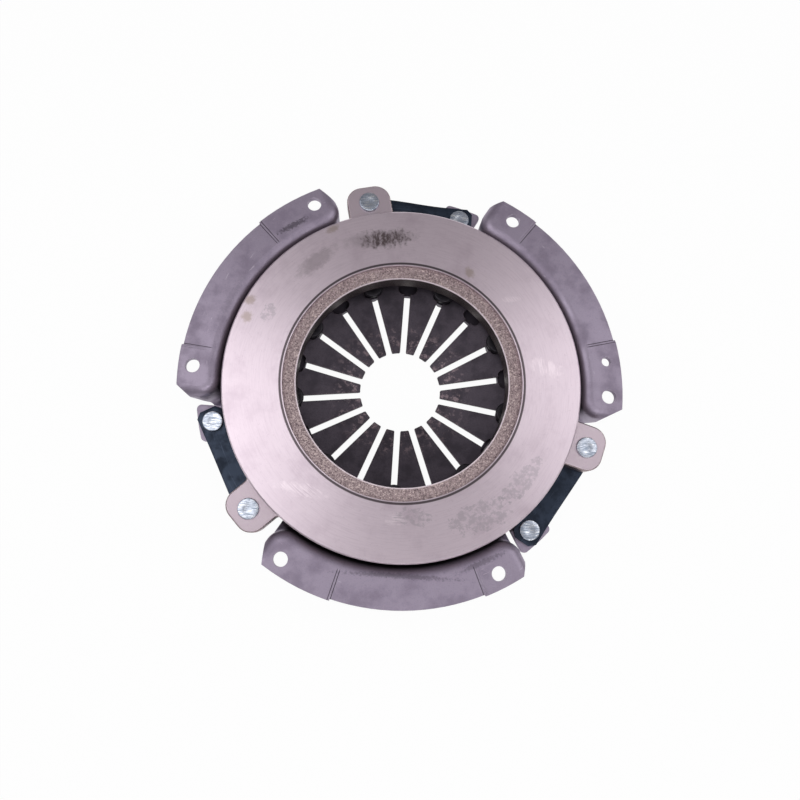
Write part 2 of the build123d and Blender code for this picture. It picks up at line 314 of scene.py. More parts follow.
@dataclass(frozen=True)
class Finish:
    """A finish with its name, colour and how it takes the light."""

    name: str
    colour: str
    metallic: float
    roughness: float
    anisotropic: float = 0.0

    def patterns(self, skin: Skin, coat: Coat) -> Relief:
        """Paints the patterns of the finish.

        Args:
            skin: the surface that it covers.
            coat: its plain colour, which takes the layers.

        Returns:
            Its roughness and relief.
        """
        raise NotImplementedError

    def build(self) -> Material:
        """Makes the material.

        Returns:
            The material.
        """
        made = bpy.data.materials.new(self.name)
        made.use_nodes = True
        tree = made.node_tree
        tree.nodes.clear()
        skin = Skin.on(tree)
        coat = Coat(skin, linear(self.colour))
        relief = self.patterns(skin, coat)
        bump = add_node(tree, "ShaderNodeBump", {
            "Strength": 1.0, "Distance": relief.depth_mm * MM, "Height": relief.height,
            "Normal": relief.normal})
        # Turning and lapping marks run round the axis, so their gloss spreads outward across them.
        shader = add_node(tree, "ShaderNodeBsdfPrincipled", {
            "Base Color": coat.colour, "Metallic": self.metallic, "Roughness": relief.roughness,
            "Normal": bump.outputs[0], "Anisotropic": self.anisotropic, "Tangent": skin.outward})
        add_node(tree, "ShaderNodeOutputMaterial", {"Surface": shader.outputs[0]})
        return made


@dataclass(frozen=True)
class GroundIron(Finish):
    """Grey cast iron: a lapped friction face, spot-faced lugs, and the sand-cast skin elsewhere."""

    name: str = "ground_grey_iron"
    colour: str = "#DCCDD7"
    metallic: float = 1.0
    roughness: float = 0.34
    anisotropic: float = 0.42
    shade: str = "#C3B2BE"
    cast_light: str = "#EAD8D3"
    cast_mid: str = "#A08E90"
    cast_dark: str = "#51464A"
    lug_colour: str = "#C4B6BE"
    soot: str = "#2C2424"
    smoke: str = "#3E3029"
    # Dark colour of the painted shade in the groove ring and on the bore wall.
    groove_and_bore_shade: str = "#2A2223"
    rust: str = "#A8968A"
    etched: str = "#ABA2AB"
    # Pale colour of cleaned stains and rubbed edges, and of the painted highlight on the bore's lip.
    cleaned_and_highlight: str = "#F4E6EE"
    face_z_mm: float = 3.8
    face_bore_mm: float = 75.2
    cast_bore_mm: float = 66.9
    rim_mm: float = 112.5
    etched_stains: tuple[Stain, ...] = (
        Stain((50.0, -80.0), (26.0, 11.0), 20.0, 2.2, 6.0), Stain((76.0, -58.0), (20.0, 7.0), 52.0, 2.2, 6.0),
        Stain((12.0, -84.0), (15.0, 7.0), 5.0, 2.2, 6.0), Stain((-88.0, 36.0), (8.0, 6.0), 60.0, 2.2, 6.0))
    cleaned_stains: tuple[Stain, ...] = (
        Stain((-57.0, -72.0), (22.0, 5.0), -8.0, 1.6, 3.0), Stain((2.0, -86.0), (9.0, 5.0), 0.0, 1.6, 3.0),
        Stain((64.0, 58.0), (9.0, 2.5), 8.0, 1.6, 3.0), Stain((90.0, 15.0), (14.0, 7.0), -20.0, 1.6, 3.0))
    rust_stains: tuple[Stain, ...] = (
        Stain((-100.0, 44.0), (5.0, 4.0), 0.0, 1.2, 2.0), Stain((-100.5, 33.0), (4.5, 5.0), 0.0, 1.2, 2.0),
        Stain((38.0, 74.0), (3.5, 5.0), 30.0, 1.2, 2.0), Stain((-52.0, 96.0), (6.0, 3.0), 30.0, 1.2, 2.0))
    soot_stains: tuple[Stain, ...] = (
        Stain((-61.0, 73.0), (19.0, 7.0), 42.0, 1.0, 2.5, 0.28),
        Stain((-22.0, 91.5), (30.0, 7.5), 12.0, 1.1, 5.0, 0.22))
    smudge: Stain = Stain((-17.5, 92.5), (20.0, 7.5), 10.0, 1.9, 3.0, 0.8)

    def zones(self, skin: Skin) -> tuple[Socket, Socket]:
        """Returns masks of the friction face with its turned rim, and of the spot-faced lugs."""
        high = skin.between(skin.height, self.face_z_mm - 2.0, self.face_z_mm - 1.6)
        outer = skin.between(skin.radius, self.face_bore_mm - 0.15, self.face_bore_mm - 0.05)
        past_rim = skin.between(skin.radius, self.rim_mm + 0.1, self.rim_mm + 0.4)
        return skin.times(high, outer), skin.times(past_rim, skin.between(skin.height, -1.6, -1.3))

    def face_colour(self, skin: Skin) -> Socket:
        """Lays lapping marks, stains and cleaned spots over the ground iron."""
        coat = Coat(skin, linear(self.colour))
        # Real lapping marks are a few hundredths of a millimetre wide; drawn at 0.7 mm they show.
        marks = skin.turning_marks(0.7, 9.0)
        coat.over(self.shade, skin.between(marks, 0.4, 0.8), 0.36)
        coat.over(self.shade, skin.between(skin.grain(22.0, 6.0, 0.65), 0.45, 0.75), 0.65)
        coat.over(self.shade, skin.between(skin.grain(1.6, 5.0, 0.75), 0.58, 0.72), 0.68)
        # Fingerprints and coolant leave etched, greyer areas with sharp shores and clear islands.
        islands = skin.between(skin.grain(3.5, 5.0, 0.72), 0.40, 0.56)
        for stain in self.etched_stains:
            coat.over(self.etched, skin.times(skin.between(stain.mask(skin), 0.30, 0.42), islands), 0.48)
        arcs = skin.between(marks, 0.38, 0.60)
        for stain in self.cleaned_stains:
            coat.over(self.cleaned_and_highlight, skin.times(stain.mask(skin), arcs), 0.65)
        for stain in self.rust_stains:
            coat.over(self.rust, stain.mask(skin), 0.6)
        for stain in self.soot_stains:
            coat.over(self.soot, stain.mask(skin), stain.share)
        # Soot wiped across the turning marks, so the smudge is hatched along the radius.
        wiped = skin.between(skin.hatching(-8.0, (0.46, 0.22, 0.3), 0.7), 0.30, 0.57)
        coat.over(self.smoke, skin.times(self.smudge.mask(skin), wiped), self.smudge.share)
        return coat.colour

    def patterns(self, skin: Skin, coat: Coat) -> Relief:
        """Paints the finish of the pressure plate, zone by zone."""
        face, lug = self.zones(skin)
        # A sand-cast skin has grains near 0.3 mm; drawn at 0.9 mm they show as speckle.
        speckle = skin.grain(0.9, 3.0, 0.75)
        milled = Coat(skin, linear(self.lug_colour))
        milled.over(self.shade, skin.between(speckle, 0.45, 0.65))
        coat.colour = linear(self.cast_dark)
        coat.over(self.cast_mid, skin.between(speckle, 0.30, 0.50))
        coat.over(self.cast_light, skin.between(speckle, 0.50, 0.72))
        coat.over(milled.colour, lug)
        coat.over(self.face_colour(skin), face)
        normal, edge = skin.worn_edge(0.35)
        coat.over(self.cleaned_and_highlight, edge, 0.5)
        # A narrow ring of painted shade, standing for a relief groove, runs inside the face behind a rubbed
        # crest.
        groove = skin.times(skin.between(skin.radius, 75.75, 75.95),
                            skin.between(skin.radius, 77.55, 77.05), face)
        coat.over(self.groove_and_bore_shade, groove, 0.85)
        # The bore's wall lies in its own painted shade below a lip with a painted highlight.
        bore = skin.between(skin.radius, self.cast_bore_mm + 0.6, self.cast_bore_mm + 0.3)
        coat.over(self.groove_and_bore_shade, skin.times(bore, skin.between(skin.height, 0.9, 0.2)), 0.8)
        lip = skin.between(skin.radius, self.cast_bore_mm + 0.9, self.cast_bore_mm + 0.5)
        coat.over(self.cleaned_and_highlight, skin.times(lip, skin.between(skin.height, 0.4, 0.9)), 0.75)
        fine = skin.turning_marks(0.5, 12.0)
        face_rough = skin.valued(self.roughness - 0.02, self.roughness + 0.05, fine)
        rough = skin.valued(skin.valued(0.40, 0.42, lug), face_rough, face)
        uneven = skin.valued(skin.times(speckle, 8.0), skin.times(speckle, 2.0), lug)
        return Relief(rough, skin.valued(uneven, skin.times(fine, 0.12), face), 0.05, normal)


@dataclass(frozen=True)
class PressedSteel(Finish):
    """Pickled and oiled deep-drawing steel sheet: satin, a faint violet cast, die scratches, oil smears."""

    name: str = "pressed_steel_sheet"
    colour: str = "#A398AA"
    metallic: float = 0.9
    roughness: float = 0.46
    shade: str = "#857A8C"
    pale: str = "#D8CEDC"
    # Dark colour of the oil smears, and of the painted shade along the pressed lines.
    oil_and_crease_shade: str = "#2E2830"
    # Dark colour of the painted shade inside the walls and on the rear ring.
    inner_wall_shade: str = "#1D1A1E"
    wall_mm: float = 116.5
    spring_side_mm: float = 86.0
    floor_mm: float = -28.5
    lobe_turn_deg: float = 120.0
    creases_deg: tuple[float, ...] = (15.05, 15.75, 54.25)
    smears: tuple[Stain, ...] = (
        Stain((-78.0, 98.0), (14.0, 2.6), 34.0, 2.2, 1.5, 0.6),
        Stain((6.0, -119.0), (46.0, 2.0), 0.0, 2.2, 1.5, 0.35),
        Stain((-113.0, 45.0), (20.0, 3.0), 65.0, 2.2, 1.5, 0.12),
        Stain((55.0, -108.0), (20.0, 2.2), 27.0, 2.2, 1.5, 0.35))

    def crease(self, skin: Skin) -> Socket:
        """Finds the thin pressed lines where the raised pads end, three on every lobe."""
        split = add_node(skin.tree, "ShaderNodeSeparateXYZ", {0: skin.position}).outputs
        angle = add_node(skin.tree, "ShaderNodeMath", {0: split[1], 1: split[0]}, operation="ARCTAN2")
        lobe = {0: angle.outputs[0], 1: math.radians(self.lobe_turn_deg)}
        own = add_node(skin.tree, "ShaderNodeMath", lobe, operation="FLOORED_MODULO").outputs[0]
        lines = []
        for line_deg in self.creases_deg:
            turn = {0: own, 1: math.radians(line_deg)}
            off = add_node(skin.tree, "ShaderNodeMath", turn, operation="SUBTRACT").outputs[0]
            away = add_node(skin.tree, "ShaderNodeMath", {0: off}, operation="ABSOLUTE").outputs[0]
            lines.append(skin.between(skin.times(away, skin.radius), 0.34, 0.12))
        on_flange = skin.times(skin.between(skin.radius, 120.5, 122.5), skin.between(skin.height, -3.4, -2.6))
        return skin.times(skin.either(*lines), on_flange)

    def patterns(self, skin: Skin, coat: Coat) -> Relief:
        """Paints the finish of the cover."""
        clouds = skin.between(skin.grain(16.0, 5.0, 0.6), 0.40, 0.68)
        coat.over(self.shade, clouds, 0.55)
        # Mill grain of cold-rolled sheet, about 0.1 mm, drawn at 0.8 mm.
        mill = skin.grain(0.8, 2.0, 0.6)
        coat.over(self.shade, skin.between(mill, 0.5, 0.8), 0.5)
        drawn = skin.turning_marks(1.4, 14.0)
        scratch = skin.times(skin.between(drawn, 0.66, 0.74), skin.between(skin.grain(9.0), 0.5, 0.62))
        coat.over(self.pale, scratch, 0.45)
        for smear in self.smears:
            coat.over(self.oil_and_crease_shade, smear.mask(skin), smear.share)
        normal, edge = skin.worn_edge(0.45)
        coat.over(self.pale, edge, 0.55)
        # Painted shade darkens the inside of the walls and of the rear ring.
        wall = skin.times(skin.between(skin.radius, self.wall_mm + 0.8, self.wall_mm - 0.8),
                          skin.between(skin.height, -1.5, -7.0))
        inside = skin.times(skin.between(skin.radius, self.spring_side_mm, self.spring_side_mm - 3.0),
                            skin.between(skin.height, self.floor_mm - 2.0, self.floor_mm - 0.3))
        coat.over(self.inner_wall_shade, skin.either(wall, inside), 0.8)
        # The pressed lines are painted shade, a dark stripe where each pad's step lies.
        coat.over(self.oil_and_crease_shade, self.crease(skin), 0.85)
        rough = skin.valued(self.roughness, self.roughness + 0.12, clouds)
        return Relief(rough, skin.valued(mill, skin.times(drawn, 2.0), scratch), 0.03, normal)


@dataclass(frozen=True)
class PeenedSpringSteel(Finish):
    """Hardened, shot-peened spring steel: dark, dull, with brown bloom and scuffs at the fingertips."""

    name: str = "peened_spring_steel"
    colour: str = "#4A434C"
    metallic: float = 0.75
    roughness: float = 0.44
    shade: str = "#322D35"
    bloom: str = "#8E7C81"
    scuff: str = "#B7A2A2"

    def patterns(self, skin: Skin, coat: Coat) -> Relief:
        """Paints the finish of the diaphragm spring."""
        coat.over(self.shade, skin.between(skin.grain(11.0, 4.0, 0.6), 0.4, 0.65), 0.7)
        # Shot dimples of about 0.4 mm, drawn at 0.7 mm.
        dimple = skin.grain(0.7, 2.0, 0.6)
        coat.over(self.shade, skin.between(dimple, 0.45, 0.7), 0.5)
        near_tip = skin.between(skin.radius, 52.0, 33.0)
        worn = skin.times(skin.between(skin.grain(4.5, 6.0, 0.72), 0.50, 0.66), near_tip)
        coat.over(self.bloom, worn, 0.75)
        flecks = skin.between(skin.grain(1.4, 5.0, 0.7), 0.62, 0.72)
        coat.over(self.scuff, skin.times(flecks, near_tip), 0.6)
        normal, edge = skin.worn_edge(0.3)
        coat.over(self.bloom, edge, 0.6)
        return Relief(skin.valued(self.roughness, self.roughness - 0.1, worn), dimple, 0.03, normal)


@dataclass(frozen=True)
class BluedStrip(Finish):
    """Blued spring steel strip: blue-black, smooth, rolled along its length, with a light oil film."""

    name: str = "blued_spring_strip"
    colour: str = "#2F3848"
    metallic: float = 0.7
    roughness: float = 0.36
    shade: str = "#1D2533"
    pale: str = "#66728A"

    def patterns(self, skin: Skin, coat: Coat) -> Relief:
        """Paints the finish of the drive straps."""
        clouds = skin.between(skin.grain(8.0, 4.0, 0.6), 0.4, 0.65)
        coat.over(self.shade, clouds)
        rolled = skin.turning_marks(0.8, 6.0)
        coat.over(self.pale, skin.between(rolled, 0.6, 0.75), 0.25)
        normal, edge = skin.worn_edge(0.2)
        coat.over(self.pale, edge, 0.7)
        return Relief(skin.valued(self.roughness, self.roughness + 0.12, clouds), rolled, 0.01, normal)


@dataclass(frozen=True)
class ZincRivet(Finish):
    """Zinc-plated rivet steel: blue-white, its heads hatched by the riveting tool."""

    name: str = "zinc_plated_rivet"
    colour: str = "#BBC1CE"
    metallic: float = 1.0
    roughness: float = 0.26
    shade: str = "#8E98A8"
    pale: str = "#F0F3F7"

    def patterns(self, skin: Skin, coat: Coat) -> Relief:
        """Paints the finish of the strap rivets."""
        # Tool marks of the riveting die: hatching about 0.5 mm wide, drawn at 0.9 mm.
        hatch = skin.hatching(-68.0, (0.22, 1.15, 0.3), 0.65)
        coat.over(self.shade, skin.between(hatch, 0.50, 0.62))
        coat.over(self.pale, skin.between(hatch, 0.46, 0.36))
        normal, edge = skin.worn_edge(0.3)
        coat.over(self.pale, edge, 0.6)
        rough = skin.valued(self.roughness, self.roughness + 0.12, skin.between(hatch, 0.4, 0.6))
        return Relief(rough, hatch, 0.06, normal)


@dataclass(frozen=True)
class BlackRivet(Finish):
    """Phosphated and oiled rivet steel: near black, with rubbed rims."""

    name: str = "phosphated_rivet"
    colour: str = "#2A272D"
    metallic: float = 0.6
    roughness: float = 0.40
    pale: str = "#6B6670"

    def patterns(self, skin: Skin, coat: Coat) -> Relief:
        """Paints a dark finish with a cloudy coat and rubbed edges."""
        crystals = skin.grain(1.2, 3.0, 0.6)
        coat.over(self.pale, skin.between(crystals, 0.5, 0.8), 0.3)
        normal, edge = skin.worn_edge(0.35)
        coat.over(self.pale, edge, 0.8)
        rough = skin.valued(self.roughness, self.roughness + 0.15, skin.between(crystals, 0.4, 0.6))
        return Relief(rough, crystals, 0.03, normal)


@dataclass(frozen=True)
class DrawnWire(BlackRivet):
    """Hard-drawn wire of the fulcrum rings: dark grey, with a faint sheen along the draw."""

    name: str = "drawn_spring_wire"
    colour: str = "#46434A"
    metallic: float = 0.9
    roughness: float = 0.35
    pale: str = "#8D8892"


# Repeats

def ring_pattern() -> Tree:
    """Builds the tree that repeats a piece round the clutch axis.

    Returns:
        The tree, whose inputs are the count, the radius, the phase, the weld distance and the finish.
    """
    tree = bpy.data.node_groups.new("ring_pattern", "GeometryNodeTree")
    panel = tree.interface
    panel.new_socket("Piece", in_out="INPUT", socket_type="NodeSocketGeometry")
    panel.new_socket("Count", in_out="INPUT", socket_type="NodeSocketInt").default_value = 3
    for name in ("Radius", "Phase", "Weld"):
        panel.new_socket(name, in_out="INPUT", socket_type="NodeSocketFloat")
    panel.new_socket("Finish", in_out="INPUT", socket_type="NodeSocketMaterial")
    panel.new_socket("Ring", in_out="OUTPUT", socket_type="NodeSocketGeometry")
    given = add_node(tree, "NodeGroupInput").outputs
    number = add_node(tree, "GeometryNodeInputIndex").outputs[0]
    pitch = add_node(tree, "ShaderNodeMath", {0: math.tau, 1: given["Count"]}, operation="DIVIDE").outputs[0]
    steps = add_node(tree, "ShaderNodeMath", {0: number, 1: pitch}, operation="MULTIPLY").outputs[0]
    angle = add_node(tree, "ShaderNodeMath", {0: steps, 1: given["Phase"]}, operation="ADD").outputs[0]
    turn = add_node(tree, "ShaderNodeCombineXYZ", {2: angle}).outputs[0]
    arm = add_node(tree, "ShaderNodeCombineXYZ", {0: given["Radius"]}).outputs[0]
    swung = add_node(tree, "ShaderNodeVectorRotate", {"Vector": arm, "Angle": angle}, rotation_type="Z_AXIS")
    place = swung.outputs[0]
    points = add_node(tree, "GeometryNodePoints", {"Count": given["Count"], "Position": place}).outputs[0]
    copies = add_node(tree, "GeometryNodeInstanceOnPoints", {
        "Points": points, "Instance": given["Piece"], "Rotation": turn}).outputs[0]
    real = add_node(tree, "GeometryNodeRealizeInstances", {0: copies}).outputs[0]
    near = {"Geometry": real, "Distance": given["Weld"]}
    welded = add_node(tree, "GeometryNodeMergeByDistance", near).outputs[0]
    finish = {"Geometry": welded, "Material": given["Finish"]}
    dressed = add_node(tree, "GeometryNodeSetMaterial", finish).outputs[0]
    add_node(tree, "NodeGroupOutput", {0: dressed})
    return tree


def settled(maker: Object, name: str, sharp_deg: float) -> Object:
    """Turns an object with live modifiers into a plain piece.

    Args:
        maker: the object with its modifiers; it is removed.
        name: name of the piece.
        sharp_deg: angle above which an edge stays sharp.

    Returns:
        The piece, with its place in its mesh.
    """
    graph = bpy.context.evaluated_depsgraph_get()
    mesh = bpy.data.meshes.new_from_object(maker.evaluated_get(graph), depsgraph=graph)
    bpy.data.objects.remove(maker)
    mesh.name = name
    mesh.shade_smooth()
    mesh.set_sharp_from_angle(angle=math.radians(sharp_deg))
    piece = bpy.data.objects.new(name, mesh)
    bpy.context.scene.collection.objects.link(piece)
    return piece


def held(mesh: Mesh) -> Object:
    """Puts a mesh into the scene so that modifiers can work on it."""
    maker = bpy.data.objects.new(f"{mesh.name}_maker", mesh)
    bpy.context.scene.collection.objects.link(maker)
    return maker


def repeated(tree: Tree, mesh: Mesh, name: str, sizes: dict[str, float | int], finish: Material,
             sharp_deg: float = 35.0) -> Object:
    """Repeats a mesh round the axis and settles the result.

    Args:
        tree: the ring pattern.
        mesh: what it repeats.
        name: name of the piece.
        sizes: values of the tree's inputs.
        finish: material of every copy.
        sharp_deg: angle above which an edge stays sharp.

    Returns:
        The piece.
    """
    maker = held(mesh)
    modifier = maker.modifiers.new("ring", "NODES")
    modifier.node_group = tree
    sockets = {item.name: item.identifier for item in tree.interface.items_tree if item.in_out == "INPUT"}
    for key, value in {**sizes, "Finish": finish}.items():
        modifier[sockets[key]] = value
    return settled(maker, name, sharp_deg)


def turned(name: str, profile: list[tuple[float, float]], steps: int) -> Mesh:
    """Turns a profile round its own upright axis.

    Args:
        name: name of the mesh.
        profile: radius and height pairs in millimetres, from the bottom pole to the top pole.
        steps: number of faces round the axis.

    Returns:
        A closed mesh.
    """
    bm = bmesh.new()
    rings = []
    for radius, height in profile:
        if radius == 0:
            rings.append([bm.verts.new((0, 0, height * MM))])
            continue
        angles = [math.tau * step / steps for step in range(steps)]
        rings.append([bm.verts.new((radius * MM * math.cos(a), radius * MM * math.sin(a), height * MM))
                      for a in angles])
    for low, high in zip(rings, rings[1:]):
        for step in range(steps):
            after = (step + 1) % steps
            places = ((low, step), (low, after), (high, after), (high, step))
            corners = [ring[turn % len(ring)] for ring, turn in places]
            bm.faces.new(list(dict.fromkeys(corners)))
    mesh = bpy.data.meshes.new(name)
    bm.to_mesh(mesh)
    bm.free()
    return mesh


def rounded_head(head_r: float, seat: float, top: float, round_r: float) -> list[tuple[float, float]]:
    """Gives the profile of a rivet head from its seat to its top.

    Args:
        head_r: radius of the head.
        seat: height of the face that it sits on.
        top: height of its top.
        round_r: radius of its rim.

    Returns:
        Radius and height pairs, upwards when the top is above the seat and downwards otherwise.
    """
    side = 1.0 if top > seat else -1.0
    bends = [math.radians(step * 22.5) for step in range(5)]
    rim = [(head_r - round_r + round_r * math.cos(bend), top - side * round_r * (1 - math.sin(bend)))
           for bend in bends]
    dimple = [(head_r * 0.45, top), (head_r * 0.35, top - side * 0.12), (0.0, top - side * 0.16)]
    return [(head_r - 0.2, seat), (head_r, seat + side * 0.2), *rim, *dimple]


# The assembly's own pieces

@dataclass
class CoverPressing:
    """The pressed cover and the wire rings that its rivets hold."""

    cover_node: str = "cover"
    ring_nodes: tuple[str, ...] = ("front_fulcrum_ring", "rear_fulcrum_ring")

    def dress(self, sheet: Material, wire: Material) -> list[str]:
        """Gives the carried-over solids their finishes.

        Args:
            sheet: finish of the pressing.
            wire: finish of the rings.

        Returns:
            Names of the dressed nodes.
        """
        for name, finish in ((self.cover_node, sheet), *((ring, wire) for ring in self.ring_nodes)):
            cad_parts[name].material_slots[0].material = finish
        return [self.cover_node, *self.ring_nodes]


@dataclass
class PressurePlate:
    """The cast iron plate with its three lugs."""

    node: str = "pressure_plate"

    def dress(self, iron: Material) -> list[str]:
        """Gives the casting its finish and returns the node's name."""
        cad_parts[self.node].material_slots[0].material = iron
        return [self.node]


@dataclass
class DiaphragmSpring:
    """The coned spring, built as one finger with its share of the rim and repeated round the axis."""

    fingers: int = 18
    outer_r: float = 99.0
    bore_r: float = 27.0
    sheet: float = 2.5
    cone_deg: float = 12.0
    pivot_r: float = 77.5
    ridge_r: float = 97.0
    slot_half: float = 2.0
    window_r: float = 71.0
    window_half: tuple[float, float] = (4.8, 6.2)
    window_corner: float = 3.2
    tip_round: float = 0.8
    edge: float = 0.28
    phase_deg: float = 9.85
    columns: int = 10
    slot_rows: int = 11
    rim_rows: int = 7
    travel: float = 3.6

    def middle_z(self, radius: float) -> float:
        """Returns the height of the middle of the sheet, from the solid's own lowest point."""
        half = self.sheet / 2 / math.cos(math.radians(self.cone_deg))
        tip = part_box("diaphragm_spring")[0].z / MM + half
        return tip + (radius - self.bore_r) * math.tan(math.radians(self.cone_deg))

    def half_outline(self, inset: float) -> list[tuple[float, float]]:
        """Follows one side of a finger from its tip to the rim.

        Args:
            inset: how far the outline is moved into the metal.

        Returns:
            Pairs of distance along the slot's middle line and distance from it.
        """
        reach, wide = self.window_half[0] + inset, self.window_half[1] + inset
        turn = self.window_corner
        off = self.slot_half + self.tip_round
        tip_x = math.sqrt((self.bore_r + self.tip_round) ** 2 - off ** 2)
        lean = math.atan2(off, tip_x)
        bend = self.tip_round - inset
        points = []
        for step in range(5):
            angle = lean - math.pi + (math.pi / 2 - lean) * step / 4
            points.append((tip_x + bend * math.cos(angle), off + bend * math.sin(angle)))
        root = self.window_r - reach
        points += [(tip_x + (root - tip_x) * step / self.slot_rows, self.slot_half + inset)
                   for step in range(1, self.slot_rows + 1)]
        points.append((root, wide - turn - inset))
        centre_y = self.window_half[1] - turn
        bend = turn + inset
        corner_x = self.window_half[0] - turn
        corners = ((self.window_r - corner_x, 180.0, 1), (self.window_r + corner_x, 90.0, 0))
        for centre_x, start_deg, first in corners:
            for step in range(first, 7):
                angle = math.radians(start_deg - 15.0 * step)
                points.append((centre_x + bend * math.cos(angle), centre_y + bend * math.sin(angle)))
        last = math.hypot(*points[-1])
        rim_r = self.outer_r - inset
        points += [(last + (rim_r - last) * step / self.rim_rows, 0.0) for step in range(self.rim_rows + 1)]
        return points

    def row(self, bm: bmesh.types.BMesh, point: tuple[float, float], lift: float) -> list[bmesh.types.BMVert]:
        """Makes one arc of points across the finger.

        Args:
            bm: the mesh in work.
            point: a point of the outline.
            lift: height above the middle of the sheet.

        Returns:
            The points from one side to the other.
        """
        radius = math.hypot(*point)
        reach = math.pi / self.fingers - math.atan2(point[1], point[0])
        height = (self.middle_z(radius) + lift) * MM
        angles = [reach * (2 * column / self.columns - 1) for column in range(self.columns + 1)]
        return [bm.verts.new((radius * MM * math.cos(a), radius * MM * math.sin(a), height)) for a in angles]

    def finger(self) -> Mesh:
        """Builds one finger with its share of the rim.

        Returns:
            A mesh that is open only where it meets its neighbours.
        """
        bm = bmesh.new()
        half = self.sheet / 2 / math.cos(math.radians(self.cone_deg))
        layers = [(self.edge, half), (0.0, half - self.edge), (0.0, self.edge - half), (self.edge, -half)]
        shells = [[self.row(bm, point, lift) for point in self.half_outline(inset)] for inset, lift in layers]
        seam = len(shells[0]) - self.rim_rows - 1
        for shell, flip in ((shells[0], False), (shells[3], True)):
            for low, high in zip(shell, shell[1:]):
                for column in range(self.columns):
                    corners = [low[column], high[column], high[column + 1], low[column + 1]]
                    bm.faces.new(corners[::-1] if flip else corners)
        for upper, lower in zip(shells, shells[1:]):
            for column in range(self.columns):
                here, there = column, column + 1
                bm.faces.new([upper[0][here], upper[0][there], lower[0][there], lower[0][here]])
                bm.faces.new([upper[-1][there], upper[-1][here], lower[-1][here], lower[-1][there]])
            for number in range(seam):
                here, there = number, number + 1
                bm.faces.new([upper[there][0], upper[here][0], lower[here][0], lower[there][0]])
                bm.faces.new([upper[here][-1], upper[there][-1], lower[there][-1], lower[here][-1]])
        bmesh.ops.remove_doubles(bm, verts=bm.verts, dist=1e-7)
        half_turn = Matrix.Rotation(math.pi / self.fingers, 3, "Z")
        bmesh.ops.rotate(bm, cent=(0, 0, 0), matrix=half_turn, verts=bm.verts)
        mesh = bpy.data.meshes.new("spring_finger")
        bm.to_mesh(mesh)
        bm.free()
        return mesh

    def build(self, pattern: Tree, finish: Material) -> Object:
        """Builds the spring and hangs it on the cover's body.

        Args:
            pattern: the ring pattern.
            finish: finish of the spring.

        Returns:
            The piece.
        """
        sizes = {"Count": self.fingers, "Radius": 0.0, "Phase": math.radians(self.phase_deg), "Weld": 2e-6}
        piece = repeated(pattern, self.finger(), "diaphragm_spring_dressed", sizes, finish, 40.0)
        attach(piece, Body.COVER.value)
        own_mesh(piece)
        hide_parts("diaphragm_spring")
        return piece


@dataclass
class RivetRing:
    """Rivets of one kind, set evenly round the axis and built as one piece.

    Its head and its tail are each given by radius, height and radius of the rim.
    """

    kind: str
    body: Body
    angle_deg: float
    slot: Slot
    count: int
    circle_r: float
    head: tuple[float, float, float]
    tail: tuple[float, float, float]
    shank_r: float
    steps: int

    def neck(self, back: float, seat: float) -> list[tuple[float, float]]:
        """Returns the outline between the tail and the underside of the head."""
        return [(self.shank_r, back), (self.shank_r, seat)]

    def profile(self) -> list[tuple[float, float]]:
        """Returns the outline of one rivet, its heights taken from the solid."""
        low, high = (corner.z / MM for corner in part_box(f"{self.kind}_1"))
        (head_r, head_h, head_round), (tail_r, tail_h, tail_round) = self.head, self.tail
        back, seat = low + tail_h, high - head_h
        tail = rounded_head(tail_r, back, low, tail_round)[::-1]
        return [*tail, *self.neck(back, seat), *rounded_head(head_r, seat, high, head_round)]

    def build(self, pattern: Tree, finish: Material) -> Object:
        """Builds the whole ring.

        Args:
            pattern: the ring pattern.
            finish: finish of the rivets.

        Returns:
            The piece.
        """
        sizes = {"Count": self.count, "Radius": self.circle_r * MM, "Phase": math.radians(self.angle_deg),
                 "Weld": 1e-7}
        one = turned(self.kind, self.profile(), self.steps)
        piece = repeated(pattern, one, f"{self.kind}s", sizes, finish)
        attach(piece, self.body.value)
        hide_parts(*(f"{self.kind}_{number}" for number in range(1, self.count + 1)))
        return piece


@dataclass
class FulcrumRivets(RivetRing):
    """Nine shouldered rivets that hold the spring and its rings to the cover."""

    kind: str = "fulcrum_rivet"
    body: Body = Body.COVER
    angle_deg: float = 29.85
    slot: Slot = Slot.BLACK_RIVET
    count: int = 9
    circle_r: float = 71.0
    head: tuple[float, float, float] = (7.25, 2.8, 1.1)
    tail: tuple[float, float, float] = (5.1, 3.0, 1.2)
    shank_r: float = 3.0
    steps: int = 40
    shoulder_r: float = 4.0
    sheet: float = 4.0

    def neck(self, back: float, seat: float) -> list[tuple[float, float]]:
        """Returns the shank through the cover's sheet and the shoulder under the head."""
        front = back + self.sheet
        return [(self.shank_r, back), (self.shank_r, front),
                (self.shoulder_r, front), (self.shoulder_r, seat)]


@dataclass
class StrapRivets(RivetRing):
    """Flat-headed rivets at one end of the three drive straps."""

    slot: Slot = Slot.ZINC_RIVET
    count: int = 3
    circle_r: float = 122.6
    head: tuple[float, float, float] = (6.5, 1.6, 0.6)
    tail: tuple[float, float, float] = (6.5, 2.6, 0.9)
    shank_r: float = 4.0
    steps: int = 48


